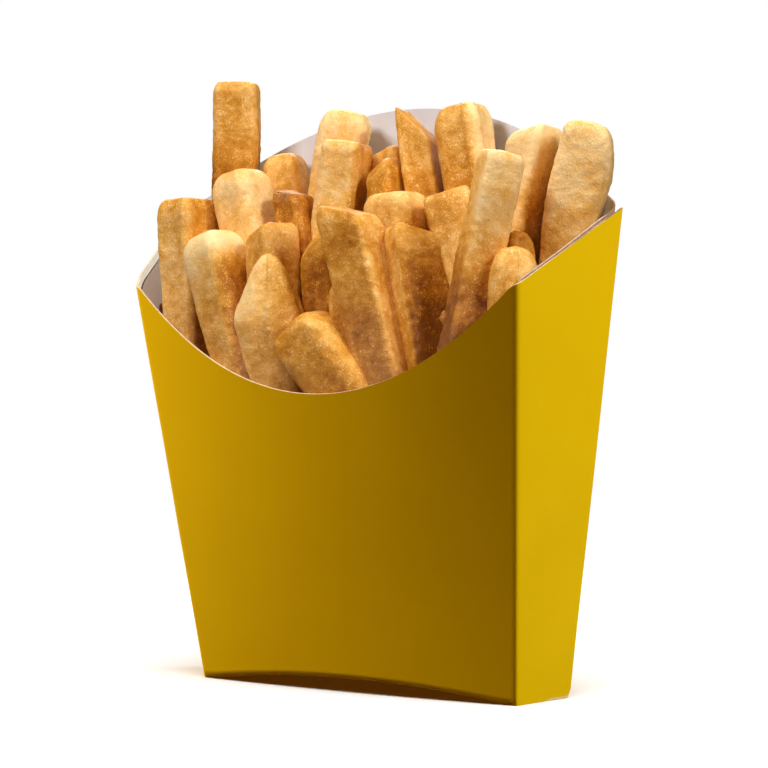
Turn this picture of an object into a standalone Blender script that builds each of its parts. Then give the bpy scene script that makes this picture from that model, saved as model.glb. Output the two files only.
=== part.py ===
"""Thick-cut french fries in a folded board scoop carton.

Metres, +Z up. The carton's low front panel faces -Y and its tall back panel +Y. It stands on
the two flat strips under its sides, with the origin under its middle on the standing surface.
"""
import math
import random

import bmesh
import bpy
from mathutils import Vector

MM = 0.001

# Carton board and the folded blank, in metres
BOARD = 0.5 * MM                 # thickness of one layer of board
FRONT_BOTTOM_HALF = 45.65 * MM   # half width of the front panel along its bottom fold
FRONT_TOP_HALF = 55.0 * MM       # half width of the front panel at its top corners
FRONT_HEIGHT = 99.8 * MM         # height of the front panel's top corners
FRONT_BOTTOM_Y = -6.2 * MM
FRONT_TOP_Y = -22.5 * MM
BACK_BOTTOM_HALF = 50.0 * MM
BACK_CORNER_HALF = 64.8 * MM     # half width where the side panels end at the back
BACK_CORNER_HEIGHT = 118.3 * MM
BACK_BOTTOM_Y = 12.7 * MM
BACK_TOP_Y = 11.2 * MM
BOTTOM_BOW = 2.8 * MM            # how far both wide panels bow out along the bottom folds
FRONT_BOW = 7.8 * MM             # the same at the height of the front's corners
BACK_BOW = 11.6 * MM             # the same at the height of the back's corners
SCOOP_LOW = 73.8 * MM            # lowest point of the scooped front edge
SCOOP_SQUARE = 22.6 * MM         # its rise with the square and the fourth power of the way out
SCOOP_FOURTH = 3.4 * MM
SCOOP_SPAN = 0.98                # share of the front's width that the scoop takes
ARCH_TOP = 145.2 * MM            # highest point of the back panel
ARCH_SQUARE = 28.4 * MM
BOTTOM_RISE = 3.4 * MM           # how far the bottom panel arches up in the middle
FOOT_START = 0.93                # share of the half width where the flat standing strip starts
STATIONS = 28                    # straight steps that follow the bowed panels

# Inner flaps: the back panel's glue flaps, which line both side panels
FLAP_FRONT = 0.07                # share of the side panel's depth where the flap starts
FLAP_BACK = 0.99
FLAP_LOW = 0.08                  # share of the side panel's height
FLAP_HIGH = 0.983
FLAP_SINK = 0.06 * MM            # how far the flap sinks into the side panel that it is glued to

# Room that the fries may fill
CLEARANCE = 0.35 * MM
WALL_GAP = (BOARD + CLEARANCE) * 1.03         # the walls lean, so this is measured level
SIDE_GAP = (2 * BOARD + CLEARANCE) * 1.05
ROOM_TOP = 175.0 * MM
CORE_FRONT = 66.0 * MM           # height of the packed core at the front and the back
CORE_BACK = 92.0 * MM
CORE_MARGIN = 3.0 * MM           # how far the core stays behind the walls above its middle

# The fries that show, in millimetres: tip, foot, width at foot and tip, thickness at the tip,
# turn of the wide face from -Y towards +X in degrees, length of the rounded nose, size of the
# end face as a share, and slope of the end face
FRIES = (
    ((-45.5, 9, 153), (-47, 10, 70), 11.5, 11.2, 10, 16, 2.5, 0.8, 0),
    ((-48.5, -9, 122), (-45, -12, 66), 9.5, 12.5, 13.5, -5, 3.5, 0.75, 0),
    ((-37, -2, 129), (-23, -5, 66), 11, 13.5, 14, -5, 6, 0.45, 0),
    ((-38.5, -14, 114), (-23, -16, 64), 11.5, 14.5, 14.5, -10, 7, 0.4, 0),
    ((-22, -10, 114.5), (-18, -12, 66), 10, 11, 11.5, -21, 2.5, 0.8, 0.28),
    ((-18, -16, 108), (-20, -15.5, 64), 12, 10.5, 13.5, -21, 12, 0.15, 0),
    ((-7.5, -18, 92), (15, -15, 64), 12, 12, 14, -2, 5, 0.6, 0),
    ((5, -14, 119.5), (20, -17, 66), 12.5, 15, 12.5, -7, 2.5, 0.85, -0.2),
    ((-9.5, -5, 112.5), (-6.5, -9, 66), 8.5, 10, 12, 3, 6, 0.4, 0),
    ((-22, 0, 123.5), (-10, -3, 70), 9, 8.5, 11, 2, 3, 0.6, -0.35),
    ((17.5, -8, 115), (31, -12, 66), 9.5, 9.5, 14, -33, 7, 0.4, -0.2),
    ((8.5, -1, 123), (13, -3, 70), 13, 14, 13, -3, 4, 0.6, 0),
    ((21.5, 1, 122.5), (38, -4, 84), 9.5, 9.5, 10, 18, 1.5, 0.9, 0.1),
    ((44, -10, 131), (33.5, -18, 66), 8.8, 8.4, 9.6, -41, 1.5, 0.85, -0.05),
    ((48.5, -12, 108.5), (47, -13, 66), 11, 11.5, 10.5, 21, 9, 0.3, 0),
    ((44.5, -3, 116), (47, -5, 76), 7, 7, 8, -20, 6, 0.3, 0),
    ((43, 9, 138), (30, 4, 74), 10, 10, 12.5, -6, 4, 0.55, 0),
    ((59.5, 5, 138.5), (45, 3, 74), 9, 12.6, 9.5, 22, 4, 0.6, -0.05),
    ((19, 13, 144.5), (31, 10, 84), 11, 13, 12, 3, 6, 0.4, 0),
    ((6, 12.5, 138), (15, 9, 88), 9.5, 8.5, 10, 10, 1.5, 0.9, -1.2),
    ((1, 7, 130), (8, 4, 84), 8, 7.5, 11.5, 0, 4, 0.5, 0.6),
    ((-2.5, 15, 134), (1, 12, 88), 10, 10, 10, -9, 3, 0.6, 0.3),
    ((-15, 14.5, 144.5), (-23.5, 11, 88), 13.5, 12.3, 9.5, 24, 3.5, 0.65, 0),
    ((-9, 5, 136), (-15.5, 1, 78), 10, 11, 11.5, 10, 2.5, 0.75, 0),
    ((-34.5, 14, 134), (-27, 11, 88), 10.5, 10.7, 10, 10, 5, 0.4, 0),
    ((0.5, -12, 100.5), (6, -14, 66), 7, 7, 9, 14, 5, 0.3, 0),
)

# Lower fries between them, stood up by a rule
FILL_SEED = 12
FILL_STEP = 10.0                 # mm between fries in a row
FILL_COUNT = 12
FILL_DEPTHS = (0.2, 0.4, 0.6, 0.8, 0.93)      # rows, as shares of the room's depth
FILL_SPACE = 5.5                 # least distance in mm from the axis of a fry that shows
FILL_WIDTH = (8.5, 11.5)
FILL_FRONT = 1.0                 # how far their tips reach above the scooped edge, in mm
FILL_BACK = 30.0                 # how far they end below the arched edge, in mm
FILL_UNEVEN = 4.0
FILL_FOOT = 60.0

# An eight-sided section of unit size: a square with its corners taken off
SECTION = ((-0.5, -0.3), (-0.3, -0.5), (0.3, -0.5), (0.5, -0.3),
           (0.5, 0.3), (0.3, 0.5), (-0.3, 0.5), (-0.5, 0.3))
NOSE_STEPS = 3


def clear_scene():
    """Remove every object so that the part starts from nothing."""
    for item in list(bpy.data.objects):
        bpy.data.objects.remove(item, do_unlink=True)


def make_collection(name):
    """Add a collection to the scene."""
    group = bpy.data.collections.new(name)
    bpy.context.scene.collection.children.link(group)
    return group


def make_material(name, colour, roughness):
    """Plain Principled material."""
    material = bpy.data.materials.new(name)
    material.use_nodes = True
    shader = material.node_tree.nodes["Principled BSDF"]
    shader.inputs["Base Color"].default_value = (*colour, 1.0)
    shader.inputs["Roughness"].default_value = roughness
    shader.inputs["Metallic"].default_value = 0.0
    return material


def mix(start, end, share):
    """Straight-line blend of two numbers or vectors."""
    return start + (end - start) * share


def front_point(across, height):
    """Outer face of the front panel; across runs from -1 at the left fold to 1 at the right."""
    share = height / FRONT_HEIGHT
    bow = mix(BOTTOM_BOW, FRONT_BOW, share) * (1.0 - across * across)
    half = mix(FRONT_BOTTOM_HALF, FRONT_TOP_HALF, share)
    return Vector((across * half, mix(FRONT_BOTTOM_Y, FRONT_TOP_Y, share) - bow, height))


def back_point(across, height):
    """Outer face of the back panel."""
    share = height / BACK_CORNER_HEIGHT
    bow = mix(BOTTOM_BOW, BACK_BOW, share) * (1.0 - across * across)
    half = mix(BACK_BOTTOM_HALF, BACK_CORNER_HALF, share)
    return Vector((across * half, mix(BACK_BOTTOM_Y, BACK_TOP_Y, share) + bow, height))


def scoop_height(across):
    """Height of the scooped edge of the front panel."""
    way = min(1.0, abs(across) / SCOOP_SPAN)
    return SCOOP_LOW + SCOOP_SQUARE * way ** 2 + SCOOP_FOURTH * way ** 4


def arch_height(across):
    """Height of the arched edge of the back panel."""
    fourth = ARCH_TOP - ARCH_SQUARE - BACK_CORNER_HEIGHT
    return ARCH_TOP - ARCH_SQUARE * across ** 2 - fourth * across ** 4


def floor_height(across):
    """Height of the arched bottom panel."""
    return BOTTOM_RISE * max(0.0, 1.0 - (across / FOOT_START) ** 2)


def station_list():
    """Positions across the carton, with one at each edge of the standing strips."""
    steps = [-1.0 + 2.0 * i / STATIONS for i in range(STATIONS + 1)]
    return sorted(steps + [-SCOOP_SPAN, -FOOT_START, FOOT_START, SCOOP_SPAN])


def loft(name, rings, collection, material, capped=True):
    """Skin over rings of equal count, closed at both ends if capped."""
    form = bmesh.new()
    rows = [[form.verts.new(point) for point in ring] for ring in rings]
    count = len(rows[0])
    last = count if capped else count - 1
    for low, high in zip(rows, rows[1:]):
        for i in range(last):
            j = (i + 1) % count
            form.faces.new((low[i], low[j], high[j], high[i]))
    form.faces.new(list(reversed(rows[0])))
    form.faces.new(rows[-1])
    bmesh.ops.recalc_face_normals(form, faces=form.faces[:])
    mesh = bpy.data.meshes.new(name)
    form.to_mesh(mesh)
    form.free()
    item = bpy.data.objects.new(name, mesh)
    item.data.materials.append(material)
    collection.objects.link(item)
    return item


def guide(item):
    """Mark a cutter, which only shapes other objects."""
    item.hide_render = True
    item.display_type = "WIRE"


def boolean(item, operation, target):
    """Add an exact Boolean with an object or a collection."""
    modifier = item.modifiers.new(operation.title(), "BOOLEAN")
    modifier.operation = operation
    modifier.solver = "EXACT"
    if isinstance(target, bpy.types.Collection):
        modifier.operand_type = "COLLECTION"
        modifier.collection = target
    else:
        modifier.object = target
    return modifier


def apply_modifiers(item):
    """Replace an object's mesh by its evaluated one."""
    bpy.context.view_layer.update()
    graph = bpy.context.evaluated_depsgraph_get()
    result = bpy.data.meshes.new_from_object(item.evaluated_get(graph))
    item.modifiers.clear()
    item.data = result


def keep_largest(item):
    """Drop any loose scrap, keeping the body with the most faces."""
    form = bmesh.new()
    form.from_mesh(item.data)
    left = set(form.faces)
    bodies = []
    while left:
        body = set()
        queue = [left.pop()]
        while queue:
            face = queue.pop()
            body.add(face)
            near = {other for edge in face.edges for other in edge.link_faces} & left
            left -= near
            queue.extend(near)
        bodies.append(body)
    bodies.sort(key=len)
    scraps = [face for body in bodies[:-1] for face in body]
    bmesh.ops.delete(form, geom=scraps, context="FACES")
    form.to_mesh(item.data)
    form.free()


def side_point(side, depth, rise, inset):
    """Point of a side panel: depth 0 at the front fold, rise 0 at the bottom; inset is inward."""
    low = mix(front_point(side, 0.0), back_point(side, 0.0), depth)
    high = mix(front_point(side, FRONT_HEIGHT), back_point(side, BACK_CORNER_HEIGHT), depth)
    return mix(low, high, rise) - Vector((side * inset, 0.0, 0.0))


def build_flap(side, collection, material):
    """Second layer of board inside one side panel."""
    corners = ((FLAP_FRONT, FLAP_LOW), (FLAP_BACK, FLAP_LOW),
               (FLAP_BACK, FLAP_HIGH), (FLAP_FRONT, FLAP_HIGH))
    rings = [[side_point(side, depth, rise, inset) for depth, rise in corners]
             for inset in (BOARD - FLAP_SINK, 2.0 * BOARD)]
    flap = loft(f"flap_{'right' if side > 0 else 'left'}", rings, collection, material)
    guide(flap)


def build_carton(collection, flaps, material):
    """Cup of board: front, bottom, back and both side panels, with the flaps glued inside."""
    rings = [[front_point(u, scoop_height(u)), front_point(u, floor_height(u)),
              back_point(u, floor_height(u)), back_point(u, arch_height(u))]
             for u in station_list()]
    carton = loft("carton", rings, collection, material, capped=False)
    shell = carton.modifiers.new("Board", "SOLIDIFY")
    shell.thickness = BOARD
    shell.offset = -1.0
    shell.use_even_offset = True
    for side in (-1, 1):
        build_flap(side, flaps, material)
    boolean(carton, "UNION", flaps)
    return carton


def room_section(across, low, front_high, back_high, margin=0.0):
    """Cross-section of the space inside the walls at one station."""
    shrink = 1.0 - SIDE_GAP / FRONT_BOTTOM_HALF
    inward = Vector((0.0, WALL_GAP, 0.0))
    points = [front_point(across, low) + inward, back_point(across, low) - inward,
              back_point(across, back_high) - inward * (1.0 + margin / WALL_GAP),
              front_point(across, front_high) + inward * (1.0 + margin / WALL_GAP)]
    return [Vector((point.x * shrink, point.y, point.z)) for point in points]


def build_room(collection, material):
    """Everything the fries may fill, inside the walls and above them."""
    rings = [room_section(u, floor_height(u) + WALL_GAP, ROOM_TOP, ROOM_TOP)
             for u in station_list()]
    room = loft("room", rings, collection, material)
    guide(room)
    return room


def build_core(collection, material):
    """Packed fries that fill the carton below the ones that show."""
    rings = [room_section(u, floor_height(u) + WALL_GAP, CORE_FRONT, CORE_BACK, CORE_MARGIN)
             for u in station_list()[::2]]
    return loft("fries", rings, collection, material)


def fry_rings(tip, foot, foot_width, tip_width, thickness, turn, nose, blunt, slope):
    """Rings of one fry from foot to tip; all sizes in millimetres."""
    foot, tip = Vector(foot), Vector(tip)
    along = (tip - foot).normalized()
    length = (tip - foot).length
    angle = math.radians(turn)
    outward = Vector((math.sin(angle), -math.cos(angle), 0.0))
    outward = (outward - along * outward.dot(along)).normalized()
    across = (-outward).cross(along)
    stops = [(0.0, 1.0), ((length - nose) * 0.5, 1.0)]
    for step in range(NOSE_STEPS + 1):
        swing = math.pi / 2 * step / NOSE_STEPS
        stops.append((length - nose * (1.0 - math.sin(swing)), mix(blunt, 1.0, math.cos(swing))))
    rings = []
    for way, scale in stops:
        width = mix(foot_width, tip_width, way / length)
        depth = thickness * width / tip_width
        lean = slope * max(0.0, 1.0 - (length - way) / tip_width)
        rings.append([(foot + along * (way + lean * width * i * scale)
                       + across * (width * i * scale) + outward * (depth * -j * scale)) * MM
                      for i, j in SECTION])
    return rings


def fill_fries():
    """Lower fries in jittered rows, left out where a fry that shows stands."""
    draw = random.Random(FILL_SEED)
    found = []
    for depth in FILL_DEPTHS:
        for step in range(FILL_COUNT):
            x = (step - (FILL_COUNT - 1) / 2) * FILL_STEP + draw.uniform(-2.5, 2.5)
            across = x * MM / FRONT_TOP_HALF
            low = scoop_height(across) / MM + FILL_FRONT
            high = arch_height(across) / MM - FILL_BACK
            height = mix(low, high, depth) + draw.uniform(-FILL_UNEVEN, FILL_UNEVEN)
            front = front_point(across, height * MM).y / MM
            back = back_point(across, height * MM).y / MM
            y = mix(front, back, depth) + draw.uniform(-1.5, 1.5)
            tip = Vector((x, y, height))
            foot = (x * 0.85, y * 0.6 + 1.3, FILL_FOOT)
            width = draw.uniform(*FILL_WIDTH)
            thick = draw.uniform(*FILL_WIDTH)
            turn = draw.uniform(-45, 45)
            if all(axis_gap(tip, fry) > FILL_SPACE for fry in FRIES):
                found.append((tip, foot, width, width, thick, turn, 3.5, 0.6, 0))
    return found


def axis_gap(point, fry):
    """Level distance in mm from a point to a shown fry's axis at the point's height."""
    tip, foot = Vector(fry[0]), Vector(fry[1])
    if point.z > tip.z:
        return (point - tip).length
    on_axis = mix(foot, tip, (point.z - foot.z) / (tip.z - foot.z))
    return (point - on_axis).xy.length


def build_fries(collection, cutters, material):
    """Core and fries joined into one body, kept clear of the carton."""
    core = build_core(collection, material)
    heap = make_collection("Fries to join")
    for number, fry in enumerate(list(FRIES) + fill_fries()):
        loft(f"fry_{number}", fry_rings(*fry), heap, material)
    room = build_room(cutters, material)
    boolean(core, "UNION", heap)
    boolean(core, "INTERSECT", room)
    apply_modifiers(core)
    for item in list(heap.objects):
        bpy.data.objects.remove(item, do_unlink=True)
    bpy.data.collections.remove(heap)
    keep_largest(core)
    return core


def build():
    """Model the whole part."""
    clear_scene()
    parts = make_collection("French fries in a carton")
    cutters = make_collection("Cutters")
    flaps = make_collection("Carton flaps")
    board = make_material("Yellow board", (0.66, 0.43, 0.0), 0.4)
    potato = make_material("Fried potato", (0.62, 0.32, 0.07), 0.5)
    build_carton(parts, flaps, board)
    build_fries(parts, cutters, potato)


build()
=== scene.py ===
"""Looks of thick-cut french fries in a folded board scoop carton.

Metres, +Z up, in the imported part's frame. The carton's folded sheets and every fry are meshes
made here; they stand for the part's two solids, "carton" and "fries".
"""
import math
import random
from collections import namedtuple

import bmesh
import bpy
import numpy as np
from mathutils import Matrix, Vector, noise


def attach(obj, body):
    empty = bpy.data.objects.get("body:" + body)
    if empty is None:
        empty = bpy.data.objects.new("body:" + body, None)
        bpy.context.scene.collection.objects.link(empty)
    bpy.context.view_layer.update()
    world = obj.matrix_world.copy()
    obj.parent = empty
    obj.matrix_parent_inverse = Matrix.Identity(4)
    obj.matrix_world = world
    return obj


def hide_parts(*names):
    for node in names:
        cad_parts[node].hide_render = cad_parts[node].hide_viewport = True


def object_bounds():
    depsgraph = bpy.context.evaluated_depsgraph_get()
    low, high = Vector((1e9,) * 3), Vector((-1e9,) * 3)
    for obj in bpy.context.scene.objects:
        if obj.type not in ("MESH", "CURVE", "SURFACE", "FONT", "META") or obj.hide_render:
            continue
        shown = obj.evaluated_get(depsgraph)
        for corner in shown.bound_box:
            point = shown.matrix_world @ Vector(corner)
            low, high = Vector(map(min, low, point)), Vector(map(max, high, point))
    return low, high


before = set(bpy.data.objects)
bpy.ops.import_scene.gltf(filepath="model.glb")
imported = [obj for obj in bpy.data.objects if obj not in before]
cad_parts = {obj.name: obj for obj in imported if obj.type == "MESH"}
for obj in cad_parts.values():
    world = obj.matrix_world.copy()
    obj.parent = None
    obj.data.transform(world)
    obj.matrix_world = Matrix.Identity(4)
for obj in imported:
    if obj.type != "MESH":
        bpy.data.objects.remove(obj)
CAD_BOX = [list(map(float, corner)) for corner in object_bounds()]

MM = 0.001

# Carton: the same folded blank as the solid, in metres
BOARD = 0.5 * MM
FRONT_BOTTOM_HALF = 45.65 * MM
FRONT_TOP_HALF = 55.0 * MM
FRONT_HEIGHT = 99.8 * MM
FRONT_BOTTOM_Y = -6.2 * MM
FRONT_TOP_Y = -22.5 * MM
BACK_BOTTOM_HALF = 50.0 * MM
BACK_CORNER_HALF = 64.8 * MM
BACK_CORNER_HEIGHT = 118.3 * MM
BACK_BOTTOM_Y = 12.7 * MM
BACK_TOP_Y = 11.2 * MM
BOTTOM_BOW = 2.8 * MM
FRONT_BOW = 7.8 * MM
BACK_BOW = 11.6 * MM
SCOOP_LOW = 73.8 * MM
SCOOP_SQUARE = 22.6 * MM
SCOOP_FOURTH = 3.4 * MM
SCOOP_SPAN = 0.98
ARCH_TOP = 145.2 * MM
ARCH_SQUARE = 28.4 * MM
BOTTOM_RISE = 3.4 * MM
FOOT_START = 0.93

# Folds and loose layers of the sheets
FOLD_ROUND = 0.6 * MM            # how far the board takes to turn a fold, each way
BOTTOM_ROUND = 0.9 * MM          # the same at the bottom folds
FOLD_FADE = 0.96                 # share of the half width where the bottom folds flatten out
REAR_CHAMFER = 2.0 * MM          # worn rear bottom corner of each side panel
CHAMFER_START = 0.96             # share of the panel's depth where that corner starts
FLAP_GAP = 0.08 * MM             # air between a side panel and the flap inside it
FLAP_PART_LEFT = 0.5 * MM        # how far the layers part at the top rear corners
FLAP_PART_RIGHT = 0.9 * MM
FLAP_PART_RISE = 0.72            # shares of the height and depth past which they part
FLAP_PART_DEPTH = 0.35
FLAP_DROP_LEFT = 1.9 * MM        # how far the flap's edge lies below the side panel's
FLAP_DROP_RIGHT = -0.3 * MM      # a little above it on the right
FLAP_DROP_FADE = 0.8             # share of the depth from which the two edges come together
FLAP_START = 0.05                # share of the side panel's depth where its flap starts
FLAP_LIFT = 0.6 * MM             # height of the flap's lower edge
BACK_INSET = 0.15 * MM           # how far the back panel is set in from the solid's face
FLAP_WRAP_LEFT = 0.18            # share of the half front that the left flap runs on over
SIDE_BULGE = 1.3 * MM            # how far the left side panel bulges at its top edge
BULGE_FULL = 0.2                 # share of the depth where the bulge is full
BULGE_FADE = 0.5                 # share of the depth where it fades, and of the height it takes
CORNER_LIFT = 0.9 * MM           # the back panel's corners stand above the side panels'
CORNER_LIFT_START = 0.8
WAVE = 0.10 * MM                 # unevenness of the board
WAVE_LENGTH = 0.035
FIBRE_DEPTH = 0.0001
OUTER_SEED = 1.7
INNER_SEED = 4.2

# Fineness of the sheets
ACROSS_STEPS = 110
DEPTH_STEPS = 36
HEIGHT_STEPS = 64
WRAP_STEPS = 8
BOTTOM_STEPS = 12
CROWDING = 0.4                   # how far columns crowd near the folds
SHORTEST_REACH = 1e-7            # keeps the rounding of the sheets' ends above zero
LOW_CROWDING = 0.35              # how far rows crowd near the bottom
SHARP_ANGLE = 50                 # degrees past which a mesh's edge is shaded sharp
UNSHADED = 2                     # columns of the left flap, from its rear fold, without the painted shade line on their top edge

# Slots of the board's materials; the last is for an edge painted dark as a line of shade
PRINT_SLOT, INNER_SLOT, RAW_SLOT, SHADE_EDGE_SLOT = range(4)

# Room for the fries
WALL_CLEAR = BOARD + 0.3 * MM
SIDE_CLEAR = 2 * BOARD + FLAP_GAP + 0.3 * MM
RIM_MARGIN = 1.0 * MM            # how far above a wall's edge the wall still counts

# The fries that show, in millimetres and degrees: tip, foot, width at foot and tip, thickness,
# turn of the wide face, length of the nose, size of the end face, slope of the end face
FRIES = (
    ((-45.7, 9, 153), (-47.3, 10, 70), 11.6, 11.5, 10, 27, 3.2, 0.66, 0),
    ((-48.5, -9, 122), (-45, -12, 66), 9.5, 12.5, 13.5, -5, 5, 0.62, 0),
    ((-37, -2, 129), (-23, -5, 66), 11, 13.5, 14, -5, 6, 0.45, 0),
    ((-37.8, -14, 113), (-21.3, -16, 64), 10.5, 13.5, 14, -10, 7, 0.4, 0),
    ((-22, -10, 113.8), (-18, -12, 66), 10, 11, 11.5, -21, 2.5, 0.75, 0.35),
    ((-18.6, -16, 107.8), (-20, -14, 62), 20, 19, 11, 12, 17, 0.06, 0),
    ((-9, -18, 90.4), (17.5, -15, 61), 16, 17, 15, -2, 7.5, 0.5, 0),
    ((2.8, -14, 118.3), (19.5, -17, 66), 12, 13.8, 10.5, -7, 4.5, 0.65, -0.55),
    ((-8.5, -5, 113), (-6.5, -9, 66), 8.5, 11, 12, 3, 5, 0.5, 0.9),
    ((-22, 0, 123.5), (-10, -3, 70), 9, 8.5, 11, 2, 3, 0.6, -0.35),
    ((17.5, -8, 113.5), (30, -13, 66), 9.5, 9.5, 14, -33, 7, 0.5, -0.1),
    ((8.5, -1, 122.5), (13, -3, 70), 13, 14, 13, -3, 4, 0.6, 0),
    ((21.8, 1, 121.5), (38, -4, 84), 11.5, 11.5, 9.5, 33, 1.5, 0.85, 0.02),
    ((44, -10, 131), (33.5, -18, 66), 8.8, 8.4, 9.6, -41, 3, 0.72, -0.05),
    ((48.5, -12, 108.5), (47, -13, 66), 11, 11.5, 10.5, 21, 9, 0.3, 0),
    ((43.2, -2, 112.5), (47, -5, 76), 6.5, 6.5, 7.5, -20, 6, 0.3, 0),
    ((43, 9, 137.5), (30, 4, 74), 10, 10, 12.5, -6, 4, 0.6, 0.45),
    ((57.6, 7, 138.5), (44, 5, 74), 12.6, 12.6, 9.5, 22, 4, 0.6, -0.05),
    ((19.3, 13, 144.5), (31, 10, 84), 11, 13.2, 12, 3, 6.5, 0.5, 0),
    ((7.2, 12.5, 140.3), (15.5, 9, 88), 9.5, 8.5, 10, 10, 1.5, 0.9, -1.2),
    ((1, 7, 130), (8, 4, 84), 8, 7.5, 11.5, 0, 4, 0.5, 0.6),
    ((-2.5, 15, 134), (1, 12, 88), 10, 10, 10, -9, 3, 0.6, 0.3),
    ((-15, 14.5, 144.5), (-23.5, 11, 88), 13.5, 12.3, 9.5, 24, 5, 0.5, 0),
    ((-9, 5, 136), (-15.5, 1, 78), 10, 11, 11.5, 10, 2.5, 0.75, 0),
    ((-34.5, 14, 134), (-27, 11, 88), 10.5, 10.7, 10, 10, 5, 0.4, 0),
    ((0.5, -12, 100.5), (6, -14, 66), 7, 7, 9, 14, 5, 0.3, 0),
)

# What sets single fries apart, in the same order. tone and shade: 0 pale to 1 brown on the front
# face, set fry by fry to how bright each looks, so partly the fry's own colour and partly painted
# shade on fries deep in the gaps. corner: rounding of the long edges. right: tone added on the
# right face, painted shade where it is darker and painted light where it is paler. across: painted
# light and shade, tone added towards the right and taken off towards the left. top: tone of the
# tip, partly own colour and partly a painted highlight where the tops are paler. foot: painted
# shade, tone added towards the foot. sheen: a painted whitish sheen, growing towards the foot.
# back: how steeply the end face falls to the back. path: shares of the length with width and
# thickness as factors and a shift to the right in mm. wedge: 0 for a rounded nose, 1 for a
# straight-sided one.
SHAPES = (
    {"tone_and_shade": 0.42, "corner": 0.17, "foot": 0.95},
    {"tone_and_shade": 0.28, "corner": 0.2, "right": 0.28, "painted_sheen": 0.6, "top": 0.48},
    {"tone_and_shade": 0.27, "corner": 0.28, "right": -0.06, "top": 0.14},
    {"tone_and_shade": 0.34, "corner": 0.24, "right": 0.45, "top": -0.05, "painted_sheen": 0.4},
    {"tone_and_shade": 0.5, "corner": 0.25},
    {"tone_and_shade": 0.32, "corner": 0.42, "across": 0.22, "wedge": 0.45, "painted_sheen": 0.7,
     "path": ((0.0, 1.0, 1.0, 0.0), (0.56, 0.95, 1.0, 0.0), (0.66, 1.0, 1.0, -0.6),
              (0.72, 0.92, 1.0, 0.4), (1.0, 0.9, 0.95, 0.0))},
    {"tone_and_shade": 0.62, "corner": 0.3, "across": -0.05, "painted_sheen": 0.3,
     "path": ((0.0, 1.05, 1.0, -1.5), (0.5, 1.0, 1.0, 0.6), (0.8, 1.0, 1.0, 0.7),
              (1.0, 1.0, 1.0, -0.6))},
    {"tone_and_shade": 0.58, "corner": 0.13, "right": -0.12, "painted_sheen": 0.4,
     "path": ((0.0, 1.0, 1.1, 0.0), (0.6, 0.97, 1.0, 0.0), (1.0, 1.0, 0.9, 0.0))},
    {"tone_and_shade": 0.78, "corner": 0.3, "top": 0.55},
    {"tone_and_shade": 0.82, "corner": 0.25},
    {"tone_and_shade": 0.4, "corner": 0.13, "right": 0.5, "back": 0.35, "top": 0.5},
    {"tone_and_shade": 0.36, "corner": 0.3, "right": 0.5, "top": 0.3},
    {"tone_and_shade": 0.5, "corner": 0.14},
    {"tone_and_shade": 0.3, "corner": 0.16, "right": -0.12, "painted_sheen": 0.2, "foot": 0.75,
     "path": ((0.0, 1.0, 1.0, 0.0), (0.5, 1.0, 1.0, -0.8), (1.0, 1.0, 1.0, 0.0))},
    {"tone_and_shade": 0.42, "corner": 0.35},
    {"tone_and_shade": 0.7, "corner": 0.3, "painted_sheen": 0.9},
    {"tone_and_shade": 0.19, "corner": 0.2, "right": 0.3, "top": 0.0},
    {"tone_and_shade": 0.14, "corner": 0.2, "painted_sheen": 0.1, "foot": 0.45,
     "path": ((0.3, 0.8, 1.0, 0.0), (0.53, 0.8, 1.0, 0.0), (0.69, 1.04, 1.0, 0.8),
              (0.83, 1.12, 1.0, 1.7), (1.0, 0.86, 0.9, 0.4))},
    {"tone_and_shade": 0.5, "corner": 0.28, "right": -0.43},
    {"tone_and_shade": 0.5, "corner": 0.12},
    {"tone_and_shade": 0.58, "corner": 0.25},
    {"tone_and_shade": 0.45, "corner": 0.25},
    {"tone_and_shade": 0.2, "corner": 0.22},
    {"tone_and_shade": 0.28, "corner": 0.22, "right": 0.25},
    {"tone_and_shade": 0.42, "corner": 0.3},
    {"tone_and_shade": 0.55, "corner": 0.3},
)

# The fries that show as four pieces: name, first and last row
FRY_PIECES = (("left", 0, 7), ("front", 7, 14), ("right", 14, 20), ("rear", 20, 26))

# Lower fries between them, by the same rule as in the solid
FILL_SEED = 12
FILL_STEP = 10.0
FILL_COUNT = 12
FILL_DEPTHS = (0.45, 0.6, 0.8, 0.93)
FILL_SPACE = 5.5
FILL_WIDTH = (8.5, 11.5)
FILL_FRONT = 1.0
FILL_BACK = 30.0
FILL_UNEVEN = 4.0
FILL_FOOT = 60.0
FILL_JITTER_ACROSS = 2.5
FILL_JITTER_DEEP = 1.5
FILL_TURN = 45
FILL_NOSE = 3.5
FILL_BLUNT = 0.6
# The lower fries are dark in tone, painted shade deep in the heap.
FILL_LOOK = {"tone_and_shade": 0.8, "corner": 0.25}
FILL_FIRST_SEED = 60
FILL_COARSENESS = 1.8            # how much wider apart their points are

# Fry surface
Ring = namedtuple("Ring", "centre side face along width depth scale lean back")
RING_STEP = 0.6                  # mm between rings of a fry that shows
NOSE_STEP = 0.4                  # the same round its nose
FEWEST_RINGS = 8
FEWEST_NOSE_RINGS = 5
CAP_RINGS = 9                    # rings that close the end face
AROUND = 76                      # points round a fry
FACE_STEPS = 60                  # points of a face and of an edge before they are evened out
CORNER_STEPS = 40
FACE_SINK = (-0.01, 0.04)        # how far the faces sink between the edges
END_SWELL = 0.5                  # mm that the end face swells in its middle
END_SHRINK = 0.9                 # how far the rings of the end face close
END_LUMP = (3.0, 0.4)            # size and height in mm of lumps and grain on the end face
END_GRAIN = (1.1, 0.12)
EDGE_START = 0.1                 # product of x and y on the unit section where an edge starts
LUMP = (8.0, 0.26)               # size and height in mm of the crust's lumps, from coarse to fine
DENT = (3.5, 0.08)
CRUMB = (1.3, 0.05, 0.09)        # the third value is added on an edge
CHIP = (0.8, 0.07)               # on edges alone
BLISTER = (2.0, 0.3)
BLISTER_START = 0.25             # noise above which a blister rises
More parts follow.
